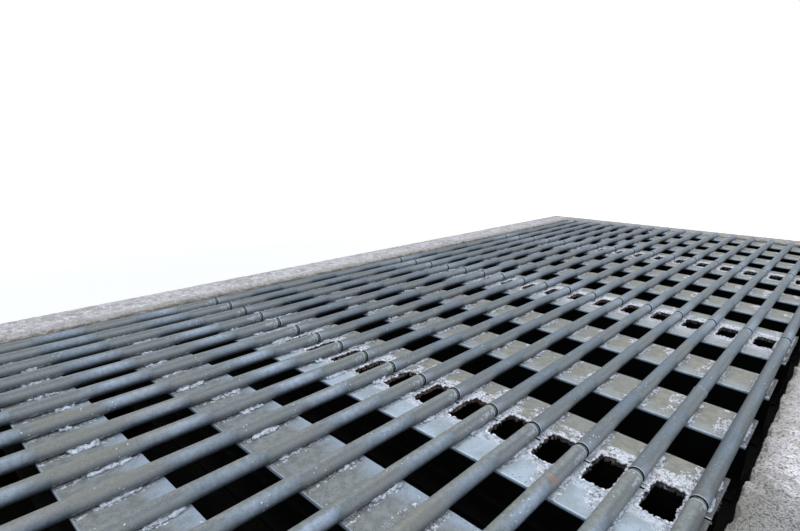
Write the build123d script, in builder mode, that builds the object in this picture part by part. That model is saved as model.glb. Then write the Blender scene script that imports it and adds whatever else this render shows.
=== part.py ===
"""A cattle grid across a road: galvanised round tubes welded over rolled wide-flange beams.

The deck is four welded panels side by side. Each panel has seventeen tubes, laid across the
direction of travel, on four beams that span a concrete-walled pit. The beams are arched a little, so
the deck crowns in the middle. Where two panels meet, their edge flanges lie side by side, and a row of
holes is flame cut across that seam, one between each two tubes, so that no hoof finds a wide plate.

X runs along the tubes, Y along the direction of travel and Z up. The origin is under the middle of
the pit, on the level that the concrete stands on. Sizes are in millimetres.
"""

import os
from math import asin, cos, degrees, sin, sqrt

from build123d import *

# Panels
panel_count = 4
panel_length = 1400.0
flange_seam_gap = 7.0

# Tubes
tube_count = 17
tube_pitch = 140.0
tube_diameter = 42.4
tube_wall = 5.0
tube_joint_gap = 16.0
crown_rise = 32.0

# Rolled beams, whose overhang is their reach past the side of the outermost tubes
beam_count = 4
beam_height = 190.0
flange_width = 200.0
flange_thickness = 10.0
web_thickness = 6.5
root_radius = 18.0
beam_overhang = 8.8

# Flame-cut holes, cut by hand, so that their reach into each flange varies
weld_ledge = 11.0
left_flange_cuts = (76.0, 72.0, 77.0, 70.0, 74.0)
right_flange_cuts = (58.0, 62.0, 56.0, 60.0, 63.0, 57.0, 59.0)
left_corner_radius = 8.0
right_corner_radius = 20.0

# Concrete
pit_clear_depth = 330.0
floor_thickness = 120.0
beam_end_clearance = 34.0
seat_width = 150.0
back_wall_thickness = 250.0
end_wall_thickness = 200.0
panel_end_clearance = 25.0
road_above_end_tubes = 0.0
worn_arris_radius = 12.0
outer_arris_chamfer = 10.0

# The tube axes lie on an arc seen along the tubes, and the beams follow the same arc below them
tube_radius = tube_diameter / 2
half_span = (tube_count - 1) * tube_pitch / 2
axis_arc_radius = (half_span**2 + crown_rise**2) / (2 * crown_rise)
flange_top_radius = axis_arc_radius - tube_radius
beam_bottom_radius = flange_top_radius - beam_height
beam_reach = half_span + tube_radius + beam_overhang
beam_end_angle = asin(beam_reach / flange_top_radius)

# The arc's centre is far below the pit, where it puts the beam ends on their seats
seat_level = floor_thickness + pit_clear_depth
arc_centre_level = seat_level - beam_bottom_radius * cos(beam_end_angle)
end_tube_top = arc_centre_level + sqrt(axis_arc_radius**2 - half_span**2) + tube_radius
road_level = end_tube_top + road_above_end_tubes

# Concrete faces, as distances from the middle of the pit
back_wall_face = beam_reach + beam_end_clearance
abutment_outer_face = back_wall_face + back_wall_thickness
stem_inner_face = back_wall_face - seat_width
end_wall_face = panel_count * panel_length / 2 + panel_end_clearance

# The seat falls outwards with the underside of the arched beams
beam_end_edge = beam_bottom_radius * sin(beam_end_angle)
seat_inner_level = arc_centre_level + sqrt(beam_bottom_radius**2 - stem_inner_face**2)
seat_fall = (seat_inner_level - seat_level) / (beam_end_edge - stem_inner_face)
seat_outer_level = seat_level - seat_fall * (back_wall_face - beam_end_edge)

tube_offsets = [(n - (tube_count - 1) / 2) * tube_pitch for n in range(tube_count)]
panel_middles = [(n - (panel_count - 1) / 2) * panel_length for n in range(panel_count)]
beam_line_length = panel_length - flange_seam_gap - flange_width
beam_offsets = [(n / (beam_count - 1) - 0.5) * beam_line_length for n in range(beam_count)]


def axis_level(offset):
    """The height of a tube's axis at this distance from the crown."""
    return arc_centre_level + sqrt(axis_arc_radius**2 - offset**2)


def save(builder, name):
    """Label a finished piece and write it as its own STEP file."""
    builder.part.label = name
    export_step(builder.part, f"parts/{name}.step")


def rolled_beam(middle, cut_side, cuts, corner_radius):
    """An arched wide-flange beam. cut_side is 1 or -1 where that edge of its top flange is flame cut."""
    mid_radius = beam_bottom_radius + beam_height / 2
    near_end = Plane(
        origin=(
            middle,
            -mid_radius * sin(beam_end_angle),
            arc_centre_level + mid_radius * cos(beam_end_angle),
        ),
        x_dir=(1, 0, 0),
        z_dir=(0, -cos(beam_end_angle), -sin(beam_end_angle)),
    )
    arch_axis = Axis((0, 0, arc_centre_level), (-1, 0, 0))
    flange_middle = (beam_height - flange_thickness) / 2
    with BuildPart() as beam:
        with BuildSketch(near_end) as section:
            Rectangle(web_thickness, beam_height)
            with Locations((0, flange_middle), (0, -flange_middle)):
                Rectangle(flange_width, flange_thickness)
            roots = section.vertices().filter_by(lambda corner: abs(corner.X) < web_thickness)
            fillet(roots, radius=root_radius)
        revolve(axis=arch_axis, revolution_arc=2 * degrees(beam_end_angle))
        if cut_side:
            seam_edge = middle + cut_side * flange_width / 2
            hole_width = tube_pitch - tube_diameter - 2 * weld_ledge
            crown_level = arc_centre_level + flange_top_radius
            cut_depth = crown_rise + 3 * flange_thickness
            with BuildSketch(Plane.XY.offset(crown_level + flange_thickness)):
                for gap, (one, other) in enumerate(zip(tube_offsets, tube_offsets[1:])):
                    reach = cuts[gap % len(cuts)]
                    with Locations((seam_edge, (one + other) / 2)):
                        RectangleRounded(2 * reach, hole_width, corner_radius)
            extrude(amount=-cut_depth, mode=Mode.SUBTRACT)
    return beam


def panel_tubes(middle):
    """The tubes of one panel, side by side on the arc, each open at both ends."""
    length = panel_length - tube_joint_gap
    places = [(offset, axis_level(offset)) for offset in tube_offsets]
    with BuildPart() as tubes:
        with BuildSketch(Plane.YZ.offset(middle - length / 2)):
            with Locations(places):
                Circle(tube_radius)
            with Locations(places):
                Circle(tube_radius - tube_wall, mode=Mode.SUBTRACT)
        extrude(amount=length)
    return tubes


def abutment(side):
    """A cast wall along the tubes, with a seat for the beam ends. side is -1 for near, 1 for far."""
    corners = [
        (side * abutment_outer_face, 0),
        (side * abutment_outer_face, road_level),
        (side * back_wall_face, road_level),
        (side * back_wall_face, seat_outer_level),
        (side * stem_inner_face, seat_inner_level),
        (side * stem_inner_face, 0),
    ]
    with BuildPart() as wall:
        with BuildSketch(Plane.YZ.offset(-end_wall_face)):
            with BuildLine():
                Polyline(*corners, close=True)
            make_face()
        extrude(amount=2 * end_wall_face)
        top_edges = wall.edges().filter_by(Axis.X).group_by(Axis.Z)[-1]
        pit_arris, road_arris = top_edges.sort_by(lambda edge: abs(edge.center().Y))
        fillet(pit_arris, radius=worn_arris_radius)
        chamfer(road_arris, length=outer_arris_chamfer)
    return wall


def end_wall(side):
    """The wall that closes one end of the pit. side is -1 for left, 1 for right."""
    middle = side * (end_wall_face + end_wall_thickness / 2)
    with BuildPart() as wall:
        with BuildSketch():
            with Locations((middle, 0)):
                Rectangle(end_wall_thickness, 2 * abutment_outer_face)
        extrude(amount=road_level)
        chamfer(wall.faces().sort_by(Axis.Z)[-1].edges(), length=outer_arris_chamfer)
    return wall


os.makedirs("parts", exist_ok=True)

# Deck panels, from left to right
for number, panel_middle in enumerate(panel_middles, start=1):
    for order, beam_offset in enumerate(beam_offsets, start=1):
        is_left_of_seam = order == beam_count and number < panel_count
        is_right_of_seam = order == 1 and number > 1
        side = 1 if is_left_of_seam else -1 if is_right_of_seam else 0
        reaches = left_flange_cuts if is_left_of_seam else right_flange_cuts
        radius = left_corner_radius if is_left_of_seam else right_corner_radius
        beam = rolled_beam(panel_middle + beam_offset, side, reaches, radius)
        save(beam, f"panel_{number}_beam_{order}")
    save(panel_tubes(panel_middle), f"panel_{number}_tubes")

# Concrete pit
save(abutment(-1), "near_abutment")
save(abutment(1), "far_abutment")
save(end_wall(-1), "left_end_wall")
save(end_wall(1), "right_end_wall")

with BuildPart() as pit_floor:
    with BuildSketch():
        Rectangle(2 * end_wall_face, 2 * stem_inner_face)
    extrude(amount=floor_thickness)
save(pit_floor, "pit_floor")
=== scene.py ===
"""The looks of a galvanised cattle grid: four welded panels of round tubes on arched beams, over a
concrete pit. Everything is in metres, X along the tubes, Y along the direction of travel, Z up."""

from math import asin, pi, radians, sqrt
from random import Random

import bpy
import numpy as np
from mathutils import Euler, Matrix, Vector


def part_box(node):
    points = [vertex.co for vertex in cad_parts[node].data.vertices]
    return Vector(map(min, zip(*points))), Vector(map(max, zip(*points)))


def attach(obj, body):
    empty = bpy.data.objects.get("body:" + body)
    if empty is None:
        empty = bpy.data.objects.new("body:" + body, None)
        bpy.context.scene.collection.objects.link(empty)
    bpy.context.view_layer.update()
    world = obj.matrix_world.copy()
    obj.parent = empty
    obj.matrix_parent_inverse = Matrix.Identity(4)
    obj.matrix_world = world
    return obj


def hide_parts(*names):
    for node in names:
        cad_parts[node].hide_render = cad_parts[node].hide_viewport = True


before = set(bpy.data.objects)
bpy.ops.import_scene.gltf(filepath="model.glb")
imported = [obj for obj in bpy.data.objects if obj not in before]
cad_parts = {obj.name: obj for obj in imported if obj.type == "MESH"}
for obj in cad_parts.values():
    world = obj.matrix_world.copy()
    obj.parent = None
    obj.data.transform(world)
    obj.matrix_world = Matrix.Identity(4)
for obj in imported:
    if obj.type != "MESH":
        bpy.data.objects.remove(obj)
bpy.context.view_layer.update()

# Tubes
# Seventeen drawn steel tubes lie across each panel, hot-dip galvanised with the beams once welded.
# Traffic and weather have turned the zinc a mottled blue grey, a little warmer with dirt on top.
# Part of that warmth is painted dull reflection, and light and shade are painted on flanks and
# ends.
PANEL_NUMBERS = (1, 2, 3, 4)
TUBES_IN_A_PANEL = 17
NEAREST_ROW = -(TUBES_IN_A_PANEL - 1) / 2
tubes_low, tubes_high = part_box("panel_1_tubes")
TUBE_RADIUS = 0.0212
BORE_RADIUS = 0.0162
CROWN_RISE = tubes_high.z - tubes_low.z - 2 * TUBE_RADIUS
HALF_SPAN = (tubes_high.y - tubes_low.y) / 2 - TUBE_RADIUS
TUBE_PITCH = 2 * HALF_SPAN / (TUBES_IN_A_PANEL - 1)
ARC_RADIUS = (HALF_SPAN**2 + CROWN_RISE**2) / (2 * CROWN_RISE)
ARC_CENTRE = tubes_high.z - TUBE_RADIUS - ARC_RADIUS
FLANGE_TOP_RADIUS = ARC_RADIUS - TUBE_RADIUS
FIRST_SEAM = (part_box("panel_1_beam_4")[1].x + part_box("panel_2_beam_1")[0].x) / 2
PANEL_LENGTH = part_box("panel_2_tubes")[0].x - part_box("panel_1_tubes")[0].x
BEAM_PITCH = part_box("panel_1_beam_2")[0].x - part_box("panel_1_beam_1")[0].x
FLANGE_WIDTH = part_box("panel_1_beam_1")[1].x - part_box("panel_1_beam_1")[0].x
HALF_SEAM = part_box("panel_2_beam_1")[0].x - FIRST_SEAM
TUBE_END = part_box("panel_2_tubes")[0].x - FIRST_SEAM
RUST_SPOT = (-1.5800, -0.8540, 0.6925)


def tube_axis(number, x=0.0):
    """A point on a tube's axis. Tube 1 is the farthest from the near edge, 17 the nearest."""
    y = ((TUBES_IN_A_PANEL + 1) / 2 - number) * TUBE_PITCH
    return Vector((x, y, ARC_CENTRE + sqrt(ARC_RADIUS**2 - y**2)))


class Finish:
    """A procedural finish. Its methods add shader nodes and return the last one's output socket."""

    def __init__(self, name):
        self.material = bpy.data.materials.new(name)
        self.material.use_nodes = True
        self.nodes = self.material.node_tree.nodes
        self.links = self.material.node_tree.links
        self.surface = self.nodes["Principled BSDF"]
        self.place = self.node("TexCoord").outputs["Object"]
        self.x, self.y, self.z = self.node("SeparateXYZ", {0: self.place}).outputs
        facing = self.node("NewGeometry").outputs["Normal"]
        self.end_on, self.away, self.up = self.node("SeparateXYZ", {0: facing}).outputs

    def node(self, kind, sockets=None, **settings):
        made = self.nodes.new("ShaderNode" + kind)
        for name, value in settings.items():
            setattr(made, name, value)
        for name, value in (sockets or {}).items():
            self.give(made.inputs[name], value)
        return made

    def give(self, socket, value):
        if isinstance(value, bpy.types.NodeSocket):
            self.links.new(value, socket)
        else:
            socket.default_value = value

    def math(self, operation, a, b=0.0):
        return self.node("Math", {0: a, 1: b}, operation=operation).outputs[0]

    def times(self, product, *factors):
        for factor in factors:
            product = self.math("MULTIPLY", product, factor)
        return product

    def plus(self, a, b):
        return self.math("ADD", a, b)

    def minus(self, a, b):
        return self.math("SUBTRACT", a, b)

    def apart(self, a, b=0.0):
        return self.math("ABSOLUTE", self.minus(a, b))

    def larger(self, a, b):
        return self.math("MAXIMUM", a, b)

    def less(self, a, b):
        """1 where a is less than b, and 0 elsewhere."""
        return self.math("LESS_THAN", a, b)

    def rest(self, share):
        return self.minus(1.0, share)

    def step(self, value, low, high, bottom=0.0, top=1.0):
        """A smooth rise from bottom to top between two limits of the value."""
        sockets = {0: value, 1: low, 2: high, 3: bottom, 4: top}
        return self.node("MapRange", sockets, interpolation_type="SMOOTHSTEP").outputs[0]

    def point(self, x, y, z):
        return self.node("CombineXYZ", {0: x, 1: y, 2: z}).outputs[0]

    def length(self, vector):
        return self.node("VectorMath", {0: vector}, operation="LENGTH").outputs["Value"]

    def distance(self, spot):
        sockets = {0: self.place, 1: spot}
        return self.node("VectorMath", sockets, operation="DISTANCE").outputs["Value"]

    def stretched(self, scale, turn=0.0):
        sockets = {"Vector": self.place, "Scale": scale, "Rotation": (0, 0, turn)}
        return self.node("Mapping", sockets).outputs[0]

    def noise(self, scale, detail=3.0, roughness=0.55, at=None):
        sockets = {"Scale": scale, "Detail": detail, "Roughness": roughness}
        return self.node("TexNoise", sockets | {"Vector": at or self.place}).outputs[0]

    def cells(self, scale):
        sockets = {"Vector": self.place, "Scale": scale}
        return self.node("TexVoronoi", sockets).outputs["Distance"]

    def random(self, at):
        return self.node("TexWhiteNoise", {"Vector": at}).outputs["Value"]

    def mix(self, share, below, above):
        """A share of the colour above over the one below, each a socket or three numbers."""
        made = self.node("Mix", {0: share}, data_type="RGBA")
        for socket, colour in ((made.inputs[6], below), (made.inputs[7], above)):
            is_socket = isinstance(colour, bpy.types.NodeSocket)
            self.give(socket, colour if is_socket else (*colour, 1))
        return made.outputs[2]

    def blend(self, value, low, high, first, last):
        """A colour that goes from the first to the last between two limits of the value."""
        return self.mix(self.step(value, low, high), first, last)

    def bump(self, height, distance, strength=1.0):
        sockets = {"Height": height, "Distance": distance, "Strength": strength}
        return self.node("Bump", sockets).outputs[0]

    def apply(self, colour, roughness, normal, metallic=0.0, specular=0.5):
        self.give(self.surface.inputs["Base Color"], colour)
        self.give(self.surface.inputs["Roughness"], roughness)
        self.give(self.surface.inputs["Normal"], normal)
        self.surface.inputs["Metallic"].default_value = metallic
        self.surface.inputs["Specular IOR Level"].default_value = specular
        return self.material


def past_nearest(finish, along, pitch):
    """How far a place is past the nearest of many lines at one pitch, and that line's number."""
    lines = finish.math("DIVIDE", along, pitch)
    number = finish.math("ROUND", lines)
    return finish.times(finish.minus(lines, number), pitch), number


def past_flange_edge(finish):
    """How far a place is past the left edge of the nearest flange on its left, along X."""
    in_panel = finish.math("FLOORED_MODULO", finish.x, PANEL_LENGTH)
    return finish.math("FLOORED_MODULO", finish.minus(in_panel, HALF_SEAM), BEAM_PITCH)


def left_of(finish, x, blur, top=1.0):
    """Where a place is left of this x, with a soft boundary."""
    return finish.step(finish.x, x + blur, x - blur, top=top)


def arc_level(finish, radius, y):
    """The level at y of an arc about the deck's own centre."""
    return finish.plus(ARC_CENTRE, finish.math("SQRT", finish.minus(radius**2, finish.times(y, y))))


def tube_zinc():
    zinc = Finish("tube_zinc")
    away, up = zinc.away, zinc.up
    offset, row = past_nearest(zinc, zinc.y, TUBE_PITCH)
    seam, _ = past_nearest(zinc, zinc.x, PANEL_LENGTH)
    from_seam = zinc.apart(seam)
    past_edge = past_flange_edge(zinc)
    axis = arc_level(zinc, ARC_RADIUS, zinc.times(row, TUBE_PITCH))
    from_axis = zinc.length(zinc.point(0.0, offset, zinc.minus(zinc.z, axis)))
    wander = zinc.noise(6.0, 3.0)
    mottle = zinc.noise(70.0, 5.0, 0.62)
    spangle = zinc.noise(280.0, 3.0, 0.6)
    grain = zinc.noise(190.0, 4.0, 0.7)
    near_panel = left_of(zinc, FIRST_SEAM, 0.03)
    on_flange = zinc.step(zinc.apart(past_edge, FLANGE_WIDTH / 2), 0.135, 0.070)
    nearest_tube = zinc.less(row, NEAREST_ROW + 0.5)

    # Blue grey zinc, duller over the flanges, with painted light, shade and reflection on the
    # flanks
    steel_blue = zinc.blend(mottle, 0.38, 0.64, (0.098, 0.133, 0.173), (0.140, 0.184, 0.235))
    dusty = zinc.blend(mottle, 0.35, 0.65, (0.120, 0.138, 0.146), (0.164, 0.182, 0.188))
    dust_share = zinc.plus(zinc.times(on_flange, 0.60), zinc.step(wander, 0.48, 0.66, top=0.35))
    tone = zinc.mix(dust_share, steel_blue, dusty)
    panel = zinc.math("FLOOR", zinc.math("DIVIDE", zinc.x, PANEL_LENGTH))
    own_shade = zinc.times(zinc.random(zinc.point(row, panel, 0.5)), 0.35)
    tone = zinc.mix(own_shade, tone, (0.125, 0.152, 0.180))
    # Painted reflection: the near flanks greyer, as if they mirrored the ground
    tone = zinc.mix(zinc.step(away, -0.15, -0.7, top=0.45), tone, (0.135, 0.155, 0.165))
    # Painted light: the near flanks paler over the flanges, as if lit from them
    flange_light = zinc.times(on_flange, zinc.step(away, -0.55, -0.95, top=0.6))
    tone = zinc.mix(flange_light, tone, (0.300, 0.320, 0.335))
    # Painted shade on the far flanks over the gaps
    far_flank_shade = zinc.times(zinc.rest(on_flange), zinc.step(away, 0.30, 0.80, top=0.3))
    tone = zinc.mix(far_flank_shade, tone, (0.065, 0.078, 0.086))
    # Painted shade on the upper flanks of the nearest tube, leaving its ridge lighter
    ridge = zinc.minus(up, zinc.times(away, 0.2))
    nearest_flank_shade = zinc.times(zinc.step(ridge, 0.99, 0.89, top=0.45), zinc.step(up, 0.10, 0.50))
    tone = zinc.mix(zinc.times(nearest_tube, nearest_flank_shade), tone, (0.070, 0.082, 0.092))

    # Dust and painted dull reflection on top, and painted pale blue sky reflection on the flanks in
    # the bays
    tilt = zinc.plus(up, zinc.times(away, 0.5))
    dust_and_dull_reflection = zinc.times(near_panel, zinc.step(tilt, 0.66, 0.95, top=0.85))
    olive_top_tone = zinc.blend(mottle, 0.35, 0.65, (0.168, 0.185, 0.188), (0.245, 0.262, 0.258))
    tone = zinc.mix(dust_and_dull_reflection, tone, olive_top_tone)
    # Painted reflection: pale blue sky mirrored on the near flanks in the bays
    from_bay = zinc.apart(past_edge, (BEAM_PITCH + FLANGE_WIDTH) / 2)
    from_bay = zinc.plus(from_bay, zinc.times(zinc.noise(14.0, 3.0), 0.10))
    in_bay = zinc.step(from_bay, 0.190, 0.065)
    flank = zinc.times(zinc.step(away, -0.05, -0.50), zinc.step(up, -0.60, 0.10))
    sky_reflection_share = zinc.times(
        zinc.plus(zinc.times(near_panel, 0.64), 0.16),
        zinc.step(zinc.noise(3.2, 2.0), 0.36, 0.60, 0.45, 1.0),
        zinc.times(flank, in_bay),
    )
    sky_reflection_tone = zinc.blend(mottle, 0.32, 0.68, (0.265, 0.335, 0.440), (0.400, 0.485, 0.620))
    tone = zinc.mix(sky_reflection_share, tone, sky_reflection_tone)
    brown = zinc.step(zinc.noise(2.4, 3.0), 0.50, 0.66, top=0.5)
    brown = zinc.times(brown, zinc.step(up, 0.2, 0.7), near_panel)
    tone = zinc.mix(brown, tone, (0.215, 0.208, 0.178))
    flecks = zinc.step(zinc.noise(210.0, 2.0), 0.60, 0.68)
    flecks = zinc.times(flecks, zinc.step(away, 0.10, 0.40, top=0.6), near_panel)
    tone = zinc.mix(flecks, tone, (0.45, 0.45, 0.39))
    tone = zinc.mix(zinc.step(spangle, 0.60, 0.74, top=0.35), tone, (0.36, 0.42, 0.47))

    # Painted shade on the undersides, less where the flanges light them from below
    lit_below = zinc.larger(zinc.larger(on_flange, nearest_tube), zinc.times(near_panel, 0.85))
    below = zinc.minus(0.93, zinc.times(lit_below, 0.68))
    tone = zinc.mix(zinc.times(below, zinc.step(up, 0.20, -0.30)), tone, (0.018, 0.024, 0.032))

    # Painted lilac and blue highlights by the seams, and white flaking patches there and at the
    # welds
    # Painted highlight: lilac on the near flanks just right of each seam
    end_highlight = zinc.times(
        zinc.step(seam, 0.070, 0.015),
        zinc.step(seam, 0.0, 0.002),
        zinc.step(away, -0.2, -0.7, top=0.55),
        zinc.step(up, -0.4, 0.1),
    )
    tone = zinc.mix(end_highlight, tone, (0.300, 0.345, 0.460))
    # Painted highlight: pale blue on the near upper flanks by the far seams
    far_seam_highlight = zinc.times(
        zinc.step(zinc.x, -0.90, -0.60),
        zinc.step(from_seam, 0.30, 0.05),
        zinc.step(zinc.noise(5.0, 3.0), 0.40, 0.60, 0.25, 0.75),
        zinc.step(away, 0.20, -0.50),
        zinc.step(up, -0.2, 0.3),
    )
    tone = zinc.mix(far_seam_highlight, tone, (0.265, 0.330, 0.425))
    patch_end = zinc.minus(zinc.times(zinc.noise(13.0, 2.0), 0.16), 0.022)
    patch = zinc.times(
        zinc.less(from_seam, patch_end),
        zinc.step(seam, 0.0, -0.002),
        zinc.step(away, -0.45, -0.75),
        zinc.step(zinc.noise(105.0, 5.0, 0.68), 0.49, 0.56),
    )
    tone = zinc.mix(zinc.times(patch, 0.65), tone, (0.50, 0.55, 0.64))
    foot = zinc.times(
        zinc.step(up, -0.15, -0.55),
        zinc.step(zinc.noise(55.0, 5.0, 0.7), 0.54, 0.57),
        on_flange,
        0.8,
    )
    tone = zinc.mix(foot, tone, (0.52, 0.55, 0.61))

    # Sparse white dots, a dark and light grain, and one rust spot
    dots = zinc.step(zinc.cells(80.0), 0.20, 0.12)
    sparse = zinc.times(dots, zinc.step(zinc.noise(10.0, 2.0), 0.58, 0.63))
    tone = zinc.mix(sparse, tone, (0.60, 0.66, 0.72))
    tone = zinc.mix(zinc.step(grain, 0.46, 0.30, top=0.45), tone, (0.060, 0.070, 0.080))
    tone = zinc.mix(zinc.step(grain, 0.54, 0.70, top=0.35), tone, (0.320, 0.370, 0.430))
    rusted = zinc.times(zinc.noise(150.0, 4.0, 0.65), 0.024)
    rusted = zinc.minus(rusted, zinc.distance(RUST_SPOT))
    tone = zinc.mix(zinc.step(rusted, -0.001, 0.011, top=0.75), tone, (0.380, 0.145, 0.100))

    # Painted highlight on each tube end's rim, and painted shade on its cut face and in the bore
    rim_highlight = zinc.step(from_seam, TUBE_END + 0.0040, TUBE_END + 0.0015)
    tone = zinc.mix(zinc.times(rim_highlight, 0.8), tone, (0.48, 0.55, 0.58))
    tone = zinc.mix(zinc.step(zinc.apart(zinc.end_on), 0.6, 0.9), tone, (0.012, 0.022, 0.035))
    bore_shade = zinc.less(from_axis, BORE_RADIUS + 0.0005)
    tone = zinc.mix(bore_shade, tone, (0.008, 0.010, 0.011))

    relief = zinc.plus(zinc.times(mottle, 0.4), zinc.times(spangle, 0.12))
    relief = zinc.bump(zinc.plus(relief, zinc.plus(sparse, patch)), 0.0006, 0.5)
    rough = zinc.step(mottle, 0.3, 0.75, 0.55, 0.72)
    return zinc.apply(tone, rough, relief, metallic=0.20, specular=0.25)


def wear(piece, *finishes):
    """Gives a piece these finishes and no other."""
    piece.data.materials.clear()
    for finish in finishes:
        piece.data.materials.append(finish)


tube_finish = tube_zinc()
for number in PANEL_NUMBERS:
    wear(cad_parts[f"panel_{number}_tubes"], tube_finish)

# Joint sleeves
# A short turned sleeve keeps each tube in line with the one of the next panel. Its ends sit in both
# bores, and its collar shows between the tube ends, a little sunk, dull and teal with damp dirt.
SLEEVE_REACH = 0.026
SLEEVE_RADIUS = 0.0155
COLLAR_RADIUS = 0.0184
COLLAR_HALF = TUBE_END - 0.0022
COLLAR_CHAMFER = 0.0008
CHAMFER_SHARE = 0.97


def joined_copies(name, model, places):
    """One piece that holds a copy of the model at each place. The model is used up."""
    corners = np.array([(*v.co, 1.0) for v in model.data.vertices])
    faces = [tuple(f.vertices) for f in model.data.polygons]
    placed = np.concatenate([corners @ np.array(place).T[:, :3] for place in places])
    starts = range(0, len(placed), len(corners))
    all_faces = [[start + n for n in face] for start in starts for face in faces]
    mesh = bpy.data.meshes.new(name)
    mesh.from_pydata(placed.tolist(), [], all_faces)
    piece = bpy.data.objects.new(name, mesh)
    bpy.context.scene.collection.objects.link(piece)
    bpy.data.objects.remove(model)
    return piece


def select_only(piece):
    bpy.ops.object.select_all(action="DESELECT")
    piece.select_set(True)
    bpy.context.view_layer.objects.active = piece


def face_outwards():
    """Turns the faces of the mesh in edit mode outwards, and leaves edit mode."""
    bpy.ops.mesh.select_all(action="SELECT")
    bpy.ops.mesh.normals_make_consistent(inside=False)
    bpy.ops.object.mode_set(mode="OBJECT")


def sleeve_model():
    """A sleeve along X about the origin: a disc drawn out thin, then as the collar, then thin."""
    bpy.ops.object.select_all(action="DESELECT")
    bpy.ops.mesh.primitive_circle_add(
        vertices=24,
        radius=SLEEVE_RADIUS,
        fill_type="NGON",
        location=(-SLEEVE_REACH, 0, 0),
        rotation=(0, pi / 2, 0),
    )
    bpy.ops.object.transform_apply()
    sleeve = bpy.context.object
    wider = COLLAR_RADIUS / SLEEVE_RADIUS
    steps = (
        (SLEEVE_REACH - COLLAR_HALF, 1.0),
        (0.0, wider * CHAMFER_SHARE),
        (COLLAR_CHAMFER, 1 / CHAMFER_SHARE),
        (2 * COLLAR_HALF - 2 * COLLAR_CHAMFER, 1.0),
        (COLLAR_CHAMFER, CHAMFER_SHARE),
        (0.0, 1 / (wider * CHAMFER_SHARE)),
        (SLEEVE_REACH - COLLAR_HALF, 1.0),
    )
    bpy.ops.object.mode_set(mode="EDIT")
    bpy.ops.mesh.select_all(action="SELECT")
    for along, size in steps:
        bpy.ops.mesh.extrude_region_move(TRANSFORM_OT_translate={"value": (along, 0, 0)})
        bpy.ops.transform.resize(value=(1, size, size), center_override=(0, 0, 0))
    face_outwards()
    return sleeve


def sleeve_steel():
    steel = Finish("sleeve_steel")
    smear = steel.noise(60.0, 4.0, 0.6)
    tone = steel.blend(smear, 0.35, 0.65, (0.085, 0.115, 0.120), (0.150, 0.185, 0.190))
    dirt = steel.step(steel.noise(190.0, 3.0), 0.58, 0.66)
    tone = steel.mix(dirt, tone, (0.035, 0.035, 0.030))
    return steel.apply(tone, 0.6, steel.bump(smear, 0.0006, 0.5), metallic=0.2, specular=0.25)


sleeve_finish = sleeve_steel()
for seam in range(1, len(PANEL_NUMBERS)):
    seam_x = FIRST_SEAM + (seam - 1) * PANEL_LENGTH
    middles = [tube_axis(number, seam_x) for number in range(1, TUBES_IN_A_PANEL + 1)]
    middles = [Matrix.Translation(middle) for middle in middles]
    sleeves = joined_copies(f"seam_{seam}_sleeves", sleeve_model(), middles)
    select_only(sleeves)
    bpy.ops.object.shade_smooth_by_angle(angle=radians(35))
    wear(sleeves, sleeve_finish)
    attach(sleeves, "root")

# Beams
# Rolled wide-flange beams carry the tubes. Their zinc is dull and beige on top, with white flaking
# crust beside the welds, a painted highlight along each flange edge, and near-black grime and
# painted shade from the flange down.
BEAM_NUMBERS = (1, 2, 3, 4)


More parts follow.
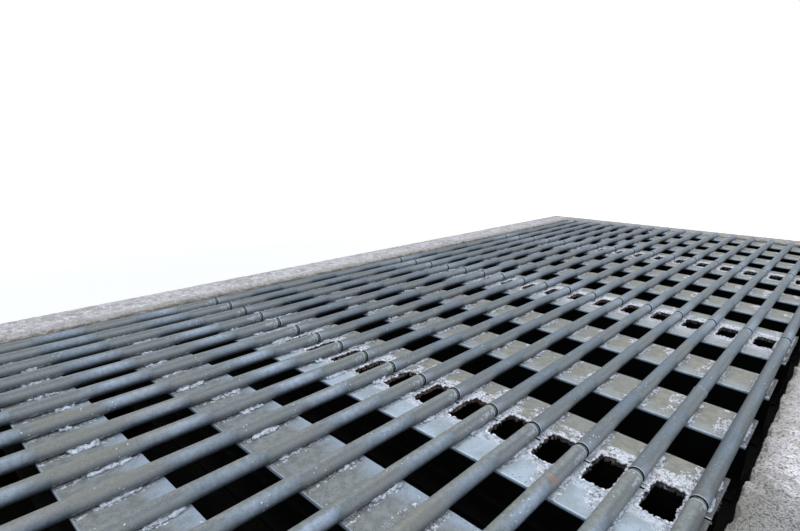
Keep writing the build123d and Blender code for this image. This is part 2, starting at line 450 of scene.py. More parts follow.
def beam_zinc():
    zinc = Finish("beam_zinc")
    seam, _ = past_nearest(zinc, zinc.x, PANEL_LENGTH)
    from_middle = zinc.apart(zinc.x)
    depth = zinc.minus(arc_level(zinc, FLANGE_TOP_RADIUS, zinc.y), zinc.z)
    past_edge = past_flange_edge(zinc)
    patchy = zinc.noise(11.0, 4.0)
    mottle = zinc.noise(42.0, 5.0, 0.62)
    fine = zinc.noise(300.0, 4.0, 0.65)
    wander = zinc.plus(0.005, zinc.times(zinc.noise(17.0, 3.0), 0.12))

    # Beige tops, bluer by the first seam, lilac at the middle one and grey in the near panel
    tone = zinc.blend(mottle, 0.35, 0.68, (0.200, 0.206, 0.186), (0.300, 0.302, 0.274))
    tone = zinc.mix(zinc.step(patchy, 0.46, 0.64, top=0.5), tone, (0.250, 0.272, 0.274))
    pale_side = zinc.step(zinc.minus(past_edge, wander), 0.010, -0.040, top=0.5)
    tone = zinc.mix(pale_side, tone, (0.340, 0.385, 0.450))
    plate_blue = zinc.blend(patchy, 0.42, 0.6, (0.325, 0.400, 0.470), (0.435, 0.530, 0.655))
    tone = zinc.mix(left_of(zinc, FIRST_SEAM, 0.03, top=0.8), tone, plate_blue)
    mid_seam = zinc.step(from_middle, 0.205, 0.120)
    mid_seam = zinc.times(mid_seam, zinc.step(patchy, 0.36, 0.54, 0.3, 0.8))
    tone = zinc.mix(mid_seam, tone, (0.410, 0.435, 0.500))
    near_panel = left_of(zinc, FIRST_SEAM - 0.25, 0.02)
    near_grey = zinc.blend(mottle, 0.35, 0.66, (0.165, 0.186, 0.194), (0.245, 0.272, 0.288))
    tone = zinc.mix(near_panel, tone, near_grey)
    right_side = zinc.step(zinc.plus(past_edge, wander), 0.190, 0.265, top=0.65)
    tone = zinc.mix(zinc.times(right_side, near_panel), tone, (0.340, 0.430, 0.560))

    # White crust, wide on the far side of each tube and narrow on its near side
    past_tube = zinc.math("FLOORED_MODULO", zinc.y, TUBE_PITCH)
    to_next_tube = zinc.minus(TUBE_PITCH, past_tube)
    flakes = zinc.noise(70.0, 6.0, 0.72)
    heavy = zinc.step(zinc.noise(6.5, 2.0), 0.42, 0.62, 0.030, 0.072)
    thinning = zinc.times(zinc.math("DIVIDE", past_tube, heavy), 0.080)
    thinning = zinc.minus(thinning, zinc.step(past_edge, 0.015, 0.110, top=0.050))
    thinning = zinc.plus(thinning, zinc.times(near_panel, 0.075))
    far_side = zinc.step(zinc.minus(flakes, thinning), 0.462, 0.478)
    far_side = zinc.times(far_side, zinc.less(past_tube, heavy))
    thin_reach = zinc.plus(0.010, zinc.times(zinc.noise(24.0, 3.0), 0.036))
    near_side = zinc.times(zinc.less(to_next_tube, thin_reach), zinc.step(flakes, 0.50, 0.52))
    film = zinc.larger(far_side, near_side)

    # Zinc splashed past both ends of the flame-cut holes, and grey beam tips with less crust
    past_hole = zinc.step(zinc.apart(seam, 0.080), 0.048, 0.036)
    before_hole = zinc.step(zinc.apart(seam, -0.094), 0.024, 0.012, top=0.55)
    at_a_seam = zinc.step(from_middle, 2.6, 2.5)
    splash = zinc.times(zinc.larger(past_hole, before_hole), at_a_seam)
    splash = zinc.times(splash, zinc.step(zinc.noise(17.0, 5.0, 0.65), 0.43, 0.48))
    film = zinc.larger(film, splash)
    near_tip = zinc.step(zinc.y, -HALF_SPAN + 0.004, -HALF_SPAN - 0.006)
    tip_grey = zinc.blend(mottle, 0.35, 0.65, (0.110, 0.112, 0.122), (0.175, 0.175, 0.185))
    tone = zinc.mix(near_tip, tone, tip_grey)
    bare = zinc.times(near_tip, zinc.step(zinc.noise(40.0, 4.0, 0.7), 0.60, 0.58))
    film = zinc.times(film, zinc.rest(bare))
    crumbs = zinc.noise(135.0, 5.0, 0.70)
    film_tone = zinc.blend(crumbs, 0.38, 0.58, (0.44, 0.46, 0.52), (0.80, 0.83, 0.93))
    tone = zinc.mix(zinc.times(film, 0.90), tone, film_tone)

    # A fine grain, black specks, and cracks in the crust
    tone = zinc.mix(zinc.step(fine, 0.55, 0.68, top=0.45), tone, (0.120, 0.105, 0.085))
    tone = zinc.mix(zinc.step(fine, 0.44, 0.34, top=0.30), tone, (0.480, 0.500, 0.520))
    specks = zinc.times(zinc.step(zinc.cells(120.0), 0.20, 0.10), zinc.step(patchy, 0.50, 0.60))
    tone = zinc.mix(zinc.times(specks, 0.85), tone, (0.030, 0.028, 0.025))
    cracks = zinc.times(zinc.step(zinc.noise(75.0, 6.0, 0.78), 0.560, 0.585), film)
    tone = zinc.mix(zinc.times(cracks, 0.9), tone, (0.045, 0.042, 0.040))

    # The flange edge: a painted highlight on top, blue below it, and painted shade from there down
    dimmer = zinc.times(near_panel, 0.75)
    edge_highlight = zinc.times(zinc.step(past_edge, 0.0055, 0.0020, top=0.9), zinc.rest(dimmer))
    tone = zinc.mix(edge_highlight, tone, (0.56, 0.66, 0.78))
    edge_noise = zinc.noise(60.0, 4.0)
    edge_highlight_tone = zinc.blend(edge_noise, 0.3, 0.6, (0.40, 0.50, 0.60), (0.70, 0.82, 0.94))
    edge_highlight_tone = zinc.mix(dimmer, edge_highlight_tone, (0.160, 0.210, 0.290))
    middle = zinc.mix(zinc.step(depth, 0.0030, 0.0052), edge_highlight_tone, (0.230, 0.300, 0.390))
    edge_light_and_shade = zinc.mix(zinc.step(depth, 0.0070, 0.0092), middle, (0.012, 0.020, 0.032))
    # Painted shade on the edges inside the narrow seam slits
    seam_slit_shade = zinc.step(zinc.apart(seam), 0.008, 0.006)
    edge_light_and_shade = zinc.mix(seam_slit_shade, edge_light_and_shade, (0.006, 0.006, 0.006))
    tone = zinc.mix(zinc.step(zinc.up, 0.5, 0.1), tone, edge_light_and_shade)
    # Near-black grime and painted shade from below the flange tops down
    grime_and_shade = zinc.step(zinc.plus(depth, zinc.times(fine, 0.002)), 0.0085, 0.0115)
    tone = zinc.mix(grime_and_shade, tone, (0.0026, 0.0028, 0.0031))

    crust_height = zinc.times(film, zinc.plus(0.5, zinc.times(crumbs, 2.2)))
    relief = zinc.plus(zinc.times(mottle, 0.5), crust_height)
    relief = zinc.minus(relief, zinc.plus(specks, cracks))
    relief = zinc.bump(zinc.plus(relief, zinc.times(fine, 0.30)), 0.0016, 0.8)
    rough = zinc.step(mottle, 0.3, 0.7, 0.58, 0.82)
    return zinc.apply(tone, rough, relief, metallic=0.10, specular=0.15)


beam_finish = beam_zinc()
for panel in PANEL_NUMBERS:
    for beam in BEAM_NUMBERS:
        wear(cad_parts[f"panel_{panel}_beam_{beam}"], beam_finish)

# Flame-cut beams
# Two edge flanges lie side by side at each seam, as wide as a plate, so holes were cut through them
# with a hand torch. The cuts are ragged, with drag lines and rust on their faces.
WELD_LEDGE = 0.011
HOLE_WIDTH = TUBE_PITCH - 2 * TUBE_RADIUS - 2 * WELD_LEDGE
FLANGE_THICKNESS = 0.010
CUT_CORNERS = {1: 0.007, -1: 0.012}
CUT_MARGIN = 0.001
CUTTER_OVERHANG = 0.040
CUTTER_HEIGHT = 0.080
CUTTER_VOXEL = 0.0035
WOBBLE = 0.016
WEB_SIDE = 0.014
SKIN = 0.0005
cut_sides = {f"panel_{n}_beam_4": 1 for n in PANEL_NUMBERS[:-1]}
cut_sides |= {f"panel_{n}_beam_1": -1 for n in PANEL_NUMBERS[1:]}
hole_places = [(tube_axis(n).y + tube_axis(n + 1).y) / 2 for n in range(1, TUBES_IN_A_PANEL)]


def deck_level(y):
    """The level of the flange tops, which the tubes lie on."""
    return ARC_CENTRE + sqrt(FLANGE_TOP_RADIUS**2 - y * y)


def merged_copy(node, name):
    """A piece with a closed copy of a node's mesh."""
    piece = bpy.data.objects.new(name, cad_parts[node].data.copy())
    bpy.context.scene.collection.objects.link(piece)
    select_only(piece)
    bpy.ops.mesh.customdata_custom_splitnormals_clear()
    bpy.ops.object.mode_set(mode="EDIT")
    bpy.ops.mesh.select_all(action="SELECT")
    bpy.ops.mesh.remove_doubles(threshold=0.00002)
    bpy.ops.object.mode_set(mode="OBJECT")
    return piece


def add_modifier(piece, kind, **settings):
    made = piece.modifiers.new(kind.lower(), kind)
    for name, value in settings.items():
        setattr(made, name, value)


def roughen(piece, texture, strength, mid_level, **settings):
    """Adds a displacement by a cloud texture that lies still in the scene."""
    settings |= {"texture": texture, "strength": strength, "mid_level": mid_level}
    add_modifier(piece, "DISPLACE", texture_coords="GLOBAL", **settings)


def apply_modifiers(piece):
    select_only(piece)
    for modifier in list(piece.modifiers):
        bpy.ops.object.modifier_apply(modifier=modifier.name)


def cloud(name, size, depth, contrast):
    made = bpy.data.textures.new(name, "CLOUDS")
    made.noise_scale = size
    made.noise_depth = depth
    made.contrast = contrast
    return made


def hole_reach(node, edge_x, y):
    """How far one of the plain holes goes into the flange from its edge."""
    reaches = [
        abs(corner.co.x - edge_x)
        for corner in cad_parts[node].data.vertices
        if abs(corner.co.y - y) < HOLE_WIDTH / 2
        and corner.co.z > deck_level(corner.co.y) - 0.001
    ]
    return max(reach for reach in reaches if reach < FLANGE_WIDTH - 0.003)


torch_wobble = cloud("torch_wobble", 0.011, 3, 1.5)


def flame_cut_beam(node, side):
    """The beam again, with its holes cut rough and a little wider than the plain ones."""
    beam = merged_copy(node, f"{node}_flame_cut")
    low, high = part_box(node)
    edge_x = high.x if side > 0 else low.x
    bpy.ops.object.select_all(action="DESELECT")
    blocks = []
    for y in hole_places:
        reach = hole_reach(node, edge_x, y) + CUT_MARGIN
        middle = edge_x - side * (reach - CUTTER_OVERHANG) / 2
        bpy.ops.mesh.primitive_cube_add(
            size=1.0,
            location=(middle, y, deck_level(y) - FLANGE_THICKNESS / 2),
            scale=(reach + CUTTER_OVERHANG, HOLE_WIDTH + 2 * CUT_MARGIN, CUTTER_HEIGHT),
        )
        blocks.append(bpy.context.object)
    for block in blocks:
        block.select_set(True)
    bpy.ops.object.join()
    cutter = bpy.context.object
    bpy.ops.object.transform_apply()
    add_modifier(cutter, "BEVEL", width=CUT_CORNERS[side], segments=4)
    add_modifier(cutter, "REMESH", mode="VOXEL", voxel_size=CUTTER_VOXEL)
    roughen(cutter, torch_wobble, WOBBLE, 0.42)
    add_modifier(beam, "BOOLEAN", object=cutter, operation="DIFFERENCE", solver="EXACT")
    apply_modifiers(beam)
    bpy.data.objects.remove(cutter)
    select_only(beam)
    bpy.ops.object.shade_smooth_by_angle(angle=radians(35))
    return beam


def is_cut_face(face, low, high):
    """Whether a face is one that the torch made, inside a flange's own outline."""
    depth = deck_level(face.center.y) - face.center.z
    inside = low.x + SKIN < face.center.x < high.x - SKIN
    far_from_web = abs(face.center.x - (low.x + high.x) / 2) > WEB_SIDE
    upright = abs(face.normal.z) < 0.75
    in_flange = -2 * SKIN < depth < FLANGE_THICKNESS + SKIN
    return inside and far_from_web and upright and in_flange


def cut_steel():
    steel = Finish("cut_steel")
    drag = steel.noise(1.0, 3.0, 0.6, at=steel.stretched((420, 420, 60)))
    patch = steel.noise(75.0, 4.0, 0.6)
    tone = steel.blend(drag, 0.35, 0.65, (0.034, 0.024, 0.019), (0.165, 0.100, 0.068))
    near = steel.step(steel.y, -0.60, -0.80, top=0.85)
    near_tone = steel.blend(drag, 0.40, 0.60, (0.014, 0.014, 0.016), (0.085, 0.088, 0.097))
    tone = steel.mix(near, tone, near_tone)
    tone = steel.mix(steel.step(patch, 0.57, 0.65, top=0.8), tone, (0.34, 0.34, 0.37))
    pores = steel.step(steel.noise(160.0, 3.0), 0.56, 0.64)
    tone = steel.mix(pores, tone, (0.020, 0.016, 0.014))
    return steel.apply(tone, 0.8, steel.bump(steel.plus(drag, patch), 0.0015, 0.8))


cut_finish = cut_steel()
flame_cut_beams = {}
for node, side in cut_sides.items():
    beam = flame_cut_beam(node, side)
    low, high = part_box(node)
    wear(beam, beam_finish, cut_finish)
    for face in beam.data.polygons:
        face.material_index = 1 if is_cut_face(face, low, high) else 0
    flame_cut_beams[node] = beam
    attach(beam, "root")
    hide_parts(node)

# Zinc lips
# The torch left a burr along the top of each cut, and zinc froze over it, so that every hole has a
# raised, beaded, bluish white lip, broken here and there.
LIP_CHANCE = 0.48
LIP_WIDTHS = (0.004, 0.006, 0.008, 0.013)


def pebble():
    """A small round model, one unit across, with twenty faces."""
    bpy.ops.object.select_all(action="DESELECT")
    bpy.ops.mesh.primitive_ico_sphere_add(subdivisions=1, radius=0.5, location=(0, 0, 0))
    return bpy.context.object


def at(place, size, turn, tilt):
    return Matrix.LocRotScale(place, Euler((tilt, 0, turn)), size)


def crusty_zinc(name, light, dark, dirt):
    crust = Finish(name)
    lump = crust.noise(85.0, 5.0, 0.68)
    broad = crust.noise(26.0, 3.0)
    tone = crust.blend(lump, 0.34, 0.6, dark, light)
    tone = crust.mix(crust.step(broad, 0.5, 0.72, top=0.45), tone, (0.33, 0.36, 0.40))
    dirty = crust.times(crust.step(crust.noise(120.0, 5.0, 0.75), 0.58, 0.62), dirt)
    tone = crust.mix(dirty, tone, (0.05, 0.045, 0.04))
    rough = crust.step(lump, 0.3, 0.7, 0.45, 0.75)
    return crust.apply(tone, rough, crust.bump(lump, 0.0012, 0.8), metallic=0.1)


lip_finish = crusty_zinc("zinc_lip", (0.76, 0.80, 0.90), (0.34, 0.35, 0.38), 0.8)
chance = Random(5)


def cut_edges(beam, on_top):
    """The middles of the top or of the bottom edges of the cut faces."""
    mesh = beam.data
    edges = {0: set(), 1: set()}
    for face in mesh.polygons:
        edges[face.material_index].update(face.edge_keys)
    ends = [[mesh.vertices[n].co for n in edge] for edge in sorted(edges[0] & edges[1])]
    middles = [(one + other) / 2 for one, other in ends]
    return [middle for middle in middles if (middle.z > deck_level(middle.y) - 0.004) == on_top]


def drop_at(place, wide, tall):
    """A place for a pebble of this size, turned and tilted at random."""
    size = Vector((wide, wide * 0.8, tall))
    return at(place, size, chance.uniform(0, pi), chance.uniform(-0.3, 0.3))


def lip_places(beam):
    """Beads along the top edges of the cut faces, at uneven steps."""
    places = []
    for middle in cut_edges(beam, on_top=True):
        if chance.random() > LIP_CHANCE:
            continue
        wide = chance.choice(LIP_WIDTHS) * chance.uniform(0.8, 1.2)
        tall = wide * chance.uniform(0.45, 0.80)
        places.append(drop_at(middle, wide, tall))
    return places


for node, beam in flame_cut_beams.items():
    lips = joined_copies(f"{node}_zinc_lips", pebble(), lip_places(beam))
    wear(lips, lip_finish)
    select_only(lips)
    bpy.ops.object.shade_smooth()
    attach(lips, "root")

# Cutting slag
# The steel that the torch melted hangs in lumps from the bottom edge of each cut. It is rusty at
# the far holes and grey at the near ones.
SLAG_CHANCE = 0.35
SLAG_WIDTHS = (0.005, 0.010)
SLAG_HEIGHTS = (0.006, 0.013)


def slag_places(beam):
    """Lumps that hang from the bottom edges of the cut faces, at uneven steps."""
    places = []
    for middle in cut_edges(beam, on_top=False):
        if chance.random() > SLAG_CHANCE:
            continue
        wide = chance.uniform(*SLAG_WIDTHS)
        tall = chance.uniform(*SLAG_HEIGHTS)
        places.append(drop_at(middle - Vector((0, 0, tall * 0.35)), wide, tall))
    return places


for node, beam in flame_cut_beams.items():
    slag = joined_copies(f"{node}_slag", pebble(), slag_places(beam))
    wear(slag, cut_finish)
    select_only(slag)
    bpy.ops.object.shade_smooth()
    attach(slag, "root")

# Fillet welds
# Each tube is welded to each flange along both sides, in one long or two short uneven beads, and
# the zinc bath left them lumpy. The far side got the heavier bead.
WELD_PROFILE_MM = ((8, 0), (29, -0.5), (28, 3), (24, 6.5), (18.5, 9.5), (13, 7.5))
WELD_HEART = (0, 0.017, 0.004)
WELD_STEPS = 13
FAR_WEIGHTS = (0.85, 1.15)
NEAR_WEIGHTS = (0.45, 0.75)
FIRST_PANEL_WEIGHTS = (0.45, 1.10)
FIRST_PANEL_HEAVY = (1.1, 1.4)
# Beads, as the limits of their shift along the tube and of their length
FIRST_PANEL_BEAD = ((-0.045, 0.045), (0.03, 0.11))
LONG_BEAD = ((-0.012, 0.012), (0.135, 0.178))
LEFT_BEAD = ((-0.062, -0.05), (0.05, 0.075))
RIGHT_BEAD = ((0.04, 0.062), (0.045, 0.075))
LIGHT_CHANCE = 0.8
LONG_CHANCE = 0.55


def weld_model():
    """A bead one unit long along X on a tube's far side, with its end faces drawn in."""
    bpy.ops.object.select_all(action="DESELECT")
    bpy.ops.mesh.primitive_circle_add(vertices=len(WELD_PROFILE_MM), fill_type="NGON")
    bead = bpy.context.object
    for corner, (out, up) in zip(bead.data.vertices, WELD_PROFILE_MM):
        corner.co = (-0.5, out / 1000, up / 1000)
    sizes = [(1.10, 0.90, 1.01)[step % 3] for step in range(WELD_STEPS)]
    sizes[0], sizes[-1] = 2.0, 0.5
    bpy.ops.object.mode_set(mode="EDIT")
    bpy.ops.mesh.select_all(action="SELECT")
    bpy.ops.transform.resize(value=(1, 0.45, 0.45), center_override=WELD_HEART)
    for size in sizes:
        bpy.ops.mesh.extrude_region_move(TRANSFORM_OT_translate={"value": (1 / WELD_STEPS, 0, 0)})
        bpy.ops.transform.resize(value=(1, size, size), center_override=WELD_HEART)
    face_outwards()
    return bead


def drawn(bead):
    """A bead's shift along the tube and its length, drawn between their limits."""
    return [chance.uniform(*limits) for limits in bead]


def weld_runs(panel, side):
    """The weight and the beads of the weld on one side of a tube."""
    weight = chance.uniform(*(FAR_WEIGHTS if side > 0 else NEAR_WEIGHTS))
    if panel == 1 and side < 0:
        is_light = chance.random() < LIGHT_CHANCE
        weight = chance.uniform(*(FIRST_PANEL_WEIGHTS if is_light else FIRST_PANEL_HEAVY))
        return weight, [drawn(FIRST_PANEL_BEAD)]
    if chance.random() < LONG_CHANCE:
        return weight, [drawn(LONG_BEAD)]
    return weight, [drawn(LEFT_BEAD), drawn(RIGHT_BEAD)]


def weld_places(panel):
    """The beads of one panel, on both sides of every tube at every flange."""
    places = []
    for beam in BEAM_NUMBERS:
        low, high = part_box(f"panel_{panel}_beam_{beam}")
        middle = (low.x + high.x) / 2
        for number in range(1, TUBES_IN_A_PANEL + 1):
            foot = tube_axis(number, middle) - Vector((0, 0, TUBE_RADIUS))
            slope = -asin(foot.y / ARC_RADIUS)
            for side in (1, -1):
                weight, runs = weld_runs(panel, side)
                for shift, length in runs:
                    size = Vector((length, side * (0.55 + 0.45 * weight), weight))
                    places.append(at(foot + Vector((shift, 0, 0)), size, 0, slope))
    return places


weld_finish = crusty_zinc("weld_crust", (0.58, 0.65, 0.76), (0.17, 0.20, 0.24), 1.0)
weld_lumps = cloud("weld_lumps", 0.010, 3, 1.8)
for panel in PANEL_NUMBERS:
    welds = joined_copies(f"panel_{panel}_welds", weld_model(), weld_places(panel))
    select_only(welds)
    bpy.ops.object.mode_set(mode="EDIT")
    face_outwards()
    roughen(welds, weld_lumps, 0.012, 0.5)
    apply_modifiers(welds)
    bpy.ops.object.shade_smooth()
    wear(welds, weld_finish)
    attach(welds, "root")

# Tube splice
# One tube was made from two lengths, butt welded in mid bay, with an uneven ridge at each side.
SPLICED_TUBE = 16
SPLICE_X = -0.790
RIDGE_SHIFT = 0.0045
RIDGE_RADIUS = 0.0014
bpy.ops.object.select_all(action="DESELECT")
ridges = []
for shift in (-RIDGE_SHIFT, RIDGE_SHIFT):
    bpy.ops.mesh.primitive_torus_add(
        major_radius=TUBE_RADIUS,
        minor_radius=RIDGE_RADIUS,
        major_segments=56,
        minor_segments=8,
        location=tube_axis(SPLICED_TUBE, SPLICE_X + shift),
        rotation=(0, pi / 2, 0),
    )
    ridges.append(bpy.context.object)
for ridge in ridges:
    ridge.select_set(True)
bpy.ops.object.join()
splice = bpy.context.object
splice.name = "tube_splice"
bpy.ops.object.transform_apply()
roughen(splice, weld_lumps, 0.002, 0.5)
apply_modifiers(splice)
bpy.ops.object.shade_smooth()
wear(splice, crusty_zinc("splice_zinc", (0.40, 0.43, 0.48), (0.20, 0.23, 0.25), 0.3))
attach(splice, "root")

# Abutments
# The walls that the beams rest on are cast concrete, weathered to a pale lilac grey. Wheels and
# frost have broken the edge along the pit, and the faces inside the pit are near black, dirt with
# painted shade.
SEAT_WIDTH = 0.150
ROAD_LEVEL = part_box("near_abutment")[1].z
END_WALL_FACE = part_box("pit_floor")[1].x
BACK_WALL_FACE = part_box("pit_floor")[1].y + SEAT_WIDTH
DIRTY_PATCH = (-1.47, -1.26, ROAD_LEVEL)
ARRIS_WEAR = 0.032
GRID_ALONG = 0.0070
GRID_ACROSS = 0.016
GRID_BELOW = 0.090


def cut_along(axis, spacing, wanted=lambda middle: True):
    """Halves the edges along one axis, where wanted, until none is longer than the spacing."""
    mesh = bpy.context.object.data
    while True:
        ends = [(edge.index, *(mesh.vertices[n].co for n in edge.vertices)) for edge in mesh.edges]
        long_edges = [
            index
            for index, one, other in ends
            if abs(one[axis] - other[axis]) > max(spacing, 0.9 * (one - other).length)
            and wanted((one + other) / 2)
        ]
        if not long_edges:
            return
        bpy.ops.object.mode_set(mode="EDIT")
        bpy.ops.mesh.select_mode(type="EDGE")
        bpy.ops.mesh.select_all(action="DESELECT")
        bpy.ops.object.mode_set(mode="OBJECT")
        for index in long_edges:
            mesh.edges[index].select = True
        bpy.ops.object.mode_set(mode="EDIT")
        bpy.ops.mesh.subdivide(number_cuts=1)
        bpy.ops.object.mode_set(mode="OBJECT")


def weigh(piece, name, weight):
    """A vertex group with a weight for each corner, worked out from its place."""
    group = piece.vertex_groups.new(name=name)
    for corner in piece.data.vertices:
        share = weight(corner.co)
        if share > 0.001:
            group.add([corner.index], share, "REPLACE")
    return name


def concrete():
    cast = Finish("weathered_concrete")
    broad = cast.noise(5.0, 5.0, 0.6)
    blotch = cast.noise(24.0, 6.0, 0.65)
    grain = cast.noise(180.0, 5.0, 0.7)
    speckle = cast.noise(420.0, 3.0, 0.7)
    smear = cast.noise(1.0, 5.0, 0.65, at=cast.stretched((48, 30, 48), 0.5))
    pits = cast.step(cast.noise(150.0, 6.0, 0.78), 0.545, 0.60)

    # Pale, blotched and smeared, with a dirty patch at one place, pits and grains
    tone = cast.blend(blotch, 0.36, 0.60, (0.420, 0.402, 0.395), (0.700, 0.682, 0.740))
    tone = cast.mix(cast.step(broad, 0.48, 0.66, top=0.55), tone, (0.350, 0.345, 0.325))
    tone = cast.mix(cast.step(smear, 0.54, 0.60, top=0.80), tone, (0.840, 0.825, 0.890))
    from_patch = cast.plus(cast.distance(DIRTY_PATCH), cast.times(blotch, 0.35))
    dirt = cast.blend(grain, 0.40, 0.60, (0.075, 0.075, 0.068), (0.250, 0.250, 0.248))
    tone = cast.mix(cast.step(from_patch, 0.56, 0.30, top=0.8), tone, dirt)
    tone = cast.mix(cast.times(pits, 0.80), tone, (0.085, 0.080, 0.070))
    tone = cast.mix(cast.step(speckle, 0.56, 0.64, top=0.55), tone, (0.13, 0.12, 0.11))
    tone = cast.mix(cast.step(speckle, 0.44, 0.36, top=0.50), tone, (0.80, 0.79, 0.84))
    tone = cast.mix(cast.step(grain, 0.58, 0.70, top=0.5), tone, (0.12, 0.11, 0.10))

    # Brown where the arris broke, mossy beside it, and near black inside the pit, dirt with painted
    # shade
    depth = cast.minus(ROAD_LEVEL, cast.z)
    broken = cast.times(cast.step(depth, 0.004, 0.012), cast.step(cast.up, 0.92, 0.6))
    tone = cast.mix(cast.times(broken, 0.7), tone, (0.170, 0.145, 0.105))
    from_pit = cast.minus(cast.apart(cast.y), BACK_WALL_FACE)
    mossy = cast.minus(from_pit, cast.times(blotch, 0.09))
    tone = cast.mix(cast.step(mossy, 0.03, -0.03, top=0.5), tone, (0.215, 0.208, 0.175))
    # Inside the pit: near black, dirt darkened further as painted shade
    in_length = cast.less(cast.apart(cast.x), END_WALL_FACE + 0.002)
    in_width = cast.less(cast.apart(cast.y), BACK_WALL_FACE + 0.012)
    wander = cast.plus(depth, cast.times(blotch, 0.03))
    inside = cast.times(in_length, in_width, cast.step(wander, 0.030, 0.055))
    tone = cast.mix(inside, tone, (0.0028, 0.0027, 0.0026))
    relief = cast.minus(cast.plus(blotch, cast.times(grain, 0.3)), pits)
    return cast.apply(tone, 0.95, cast.bump(relief, 0.0035, 0.8), specular=0.2)


concrete_finish = concrete()
uneven_top = cloud("uneven_top", 0.030, 4, 1.4)
frost_bites = cloud("frost_bites", 0.050, 4, 3.2)
small_chips = cloud("small_chips", 0.012, 2, 2.0)


def weathered(node, name, across, arris):
    """A concrete wall with an uneven top and an arris broken along the pit, at this X or Y."""
    wall = merged_copy(node, name)
    bpy.ops.object.mode_set(mode="EDIT")
    bpy.ops.mesh.select_all(action="SELECT")
    bpy.ops.mesh.dissolve_limited(angle_limit=radians(0.5))
    bpy.ops.object.mode_set(mode="OBJECT")
    short_way = "XY".index(across)

    def is_high(middle):
        return middle.z > ROAD_LEVEL - 0.02

    def is_by_arris(middle):
        return middle.z > ROAD_LEVEL - 0.10 and abs(middle[short_way] - arris) < 0.02

    def near_arris(place):
        away = sqrt((place[short_way] - arris) ** 2 + (place.z - ROAD_LEVEL) ** 2)
        return max(0.0, 1 - away / ARRIS_WEAR)

    def on_top(place):
        return 1.0 if place.z > ROAD_LEVEL - 0.001 else 0.0

    cut_along(1 - short_way, GRID_ALONG)
    cut_along(short_way, GRID_ACROSS, is_high)
    cut_along(2, GRID_ACROSS, is_by_arris)
    cut_along(2, GRID_BELOW)
    edge = weigh(wall, "arris", near_arris)
    top = weigh(wall, "top", on_top)
    outwards = -1 if arris < 0 else 1
    for texture, drop, retreat in ((frost_bites, 0.010, 0.008), (small_chips, 0.005, 0.004)):
        roughen(wall, texture, -drop, 0.0, direction="Z", vertex_group=edge)
        roughen(wall, texture, outwards * retreat, 0.0, direction=across, vertex_group=edge)
    roughen(wall, uneven_top, -0.004, 0.0, direction="Z", vertex_group=top)
    apply_modifiers(wall)
    bpy.ops.object.shade_smooth_by_angle(angle=radians(40))
    wear(wall, concrete_finish)
    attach(wall, "root")
    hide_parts(node)


weathered("near_abutment", "near_abutment_cast", "Y", -BACK_WALL_FACE)
weathered("far_abutment", "far_abutment_cast", "Y", BACK_WALL_FACE)

# End walls
# The pit is closed at both ends by the same cast concrete.
weathered("left_end_wall", "left_end_wall_cast", "X", -END_WALL_FACE)
weathered("right_end_wall", "right_end_wall_cast", "X", END_WALL_FACE)

# Pit floor
# The floor is cast concrete too. Years of mud and litter have fallen through the deck, and lie
# uneven and damp on it, near black with painted shade.
BED_THICKNESS = 0.004
BED_CLEARANCE = 0.002
floor_low, floor_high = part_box("pit_floor")


def pit_mud_and_shade():
    dirt = Finish("pit_mud_and_shade")
    clods = dirt.noise(14.0, 6.0, 0.65)
    litter = dirt.noise(90.0, 4.0, 0.7)
    # Near black: mud darkened further as painted shade
    tone = dirt.blend(clods, 0.3, 0.7, (0.0018, 0.0017, 0.0015), (0.007, 0.006, 0.005))
    tone = dirt.mix(dirt.step(litter, 0.64, 0.72, top=0.6), tone, (0.024, 0.019, 0.013))
    return dirt.apply(tone, 0.95, dirt.bump(dirt.plus(clods, litter), 0.02, 0.8), specular=0.2)


pit_finish = pit_mud_and_shade()
wear(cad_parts["pit_floor"], pit_finish)
bpy.ops.object.select_all(action="DESELECT")
bpy.ops.mesh.primitive_grid_add(
    x_subdivisions=140,
    y_subdivisions=52,
    size=1.0,
    location=(0, 0, floor_high.z + BED_THICKNESS),
)
dirt_bed = bpy.context.object
dirt_bed.name = "pit_dirt_bed"
bed_length = floor_high.x - floor_low.x - 2 * BED_CLEARANCE
bed_width = floor_high.y - floor_low.y - 2 * BED_CLEARANCE
dirt_bed.scale = (bed_length, bed_width, 1)
bpy.ops.object.transform_apply()
roughen(dirt_bed, cloud("mud", 0.22, 5, 1.2), 0.05, 0.0, direction="Z")
add_modifier(dirt_bed, "SOLIDIFY", thickness=BED_THICKNESS, offset=-1.0)
apply_modifiers(dirt_bed)
bpy.ops.object.shade_smooth()
wear(dirt_bed, pit_finish)
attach(dirt_bed, "root")

# Floor, lamps and camera
# A plain pale floor and soft light, and the viewpoint of the photograph, low over the near left
# corner. Seen straight or in a gloss, the floor and the sky are white.
STRAIGHT_RAYS = ("Is Camera Ray", "Is Glossy Ray", "Is Transmission Ray")
bpy.ops.object.select_all(action="DESELECT")
bpy.ops.mesh.primitive_plane_add(size=60.0, location=(0, 0, 0))
floor = bpy.context.object
floor.name = "studio_floor"
pale = Finish("studio_pale")
pale.apply((0.80, 0.80, 0.80, 1), 0.9, pale.bump(pale.noise(3.0), 0.001, 0.05))
pale.surface.inputs["Emission Color"].default_value = (1, 1, 1, 1)
rays = pale.node("LightPath").outputs
straight = rays[STRAIGHT_RAYS[0]]
for kind in STRAIGHT_RAYS[1:]:
    straight = pale.larger(straight, rays[kind])
glow = pale.times(straight, pale.step(pale.length(pale.place), 3.0, 11.0, 0.30, 0.75))
pale.give(pale.surface.inputs["Emission Strength"], glow)
wear(floor, pale.material)

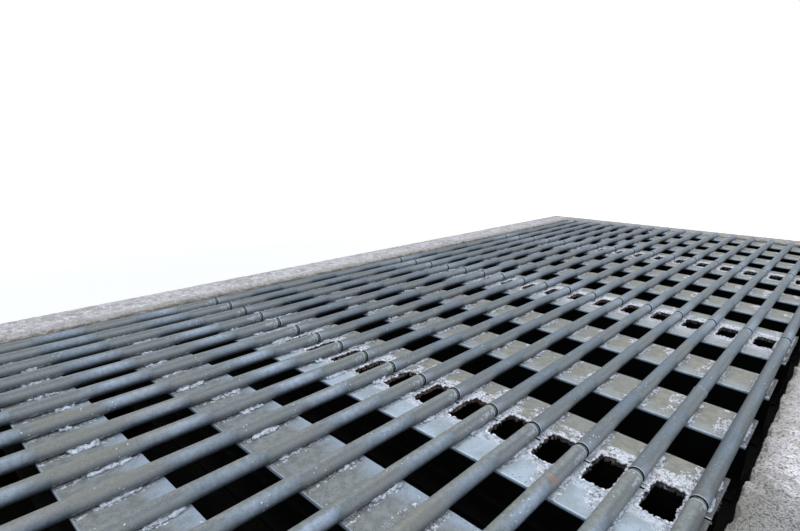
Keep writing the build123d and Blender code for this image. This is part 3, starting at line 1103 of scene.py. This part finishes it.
world = bpy.data.worlds.new("studio")
bpy.context.scene.world = world
world.use_nodes = True
world_nodes = world.node_tree.nodes
world_links = world.node_tree.links
sky = world_nodes["Background"]
sky.inputs["Color"].default_value = (0.86, 0.93, 1.0, 1)
sky.inputs["Strength"].default_value = 0.52
white = world_nodes.new("ShaderNodeBackground")
white.inputs["Color"].default_value = (1, 1, 1, 1)
white.inputs["Strength"].default_value = 1.0
rays = world_nodes.new("ShaderNodeLightPath").outputs
straight = rays[STRAIGHT_RAYS[0]]
for kind in STRAIGHT_RAYS[1:]:
    either = world_nodes.new("ShaderNodeMath")
    either.operation = "MAXIMUM"
    world_links.new(straight, either.inputs[0])
    world_links.new(rays[kind], either.inputs[1])
    straight = either.outputs[0]
choose = world_nodes.new("ShaderNodeMixShader")
world_links.new(straight, choose.inputs[0])
world_links.new(sky.outputs[0], choose.inputs[1])
world_links.new(white.outputs[0], choose.inputs[2])
world_links.new(choose.outputs[0], world_nodes["World Output"].inputs["Surface"])

LAMP_TARGET = Vector((0, 0, 0.6))
# Each lamp's name, place, width, watts and colour
LAMPS = (
    ("overhead", (0.0, -1.6, 6.4), 7.0, 345.0, (1.0, 0.99, 0.97)),
    ("left", (-7.0, -2.0, 3.0), 2.5, 90.0, (0.84, 0.92, 1.0)),
    ("right", (7.0, 1.0, 3.0), 2.5, 40.0, (0.84, 0.92, 1.0)),
)
for name, place, size, watts, colour in LAMPS:
    light = bpy.data.lights.new(name, "AREA")
    light.size = size
    light.energy = watts
    light.color = colour
    lamp = bpy.data.objects.new(name, light)
    bpy.context.scene.collection.objects.link(lamp)
    lamp.location = place
    lamp.rotation_euler = (LAMP_TARGET - Vector(place)).to_track_quat("-Z", "Y").to_euler()

camera_data = bpy.data.cameras.new("view")
camera_data.sensor_width = 36.0
camera_data.lens = 23.057
camera_data.clip_start = 0.02
camera = bpy.data.objects.new("view", camera_data)
bpy.context.scene.collection.objects.link(camera)
camera.location = (-2.6164, -1.3085, 1.4592)
camera.rotation_euler = Euler((radians(76.878), radians(-0.550), radians(-47.102)))
bpy.context.scene.camera = camera
bpy.context.scene.view_settings.view_transform = "Standard"
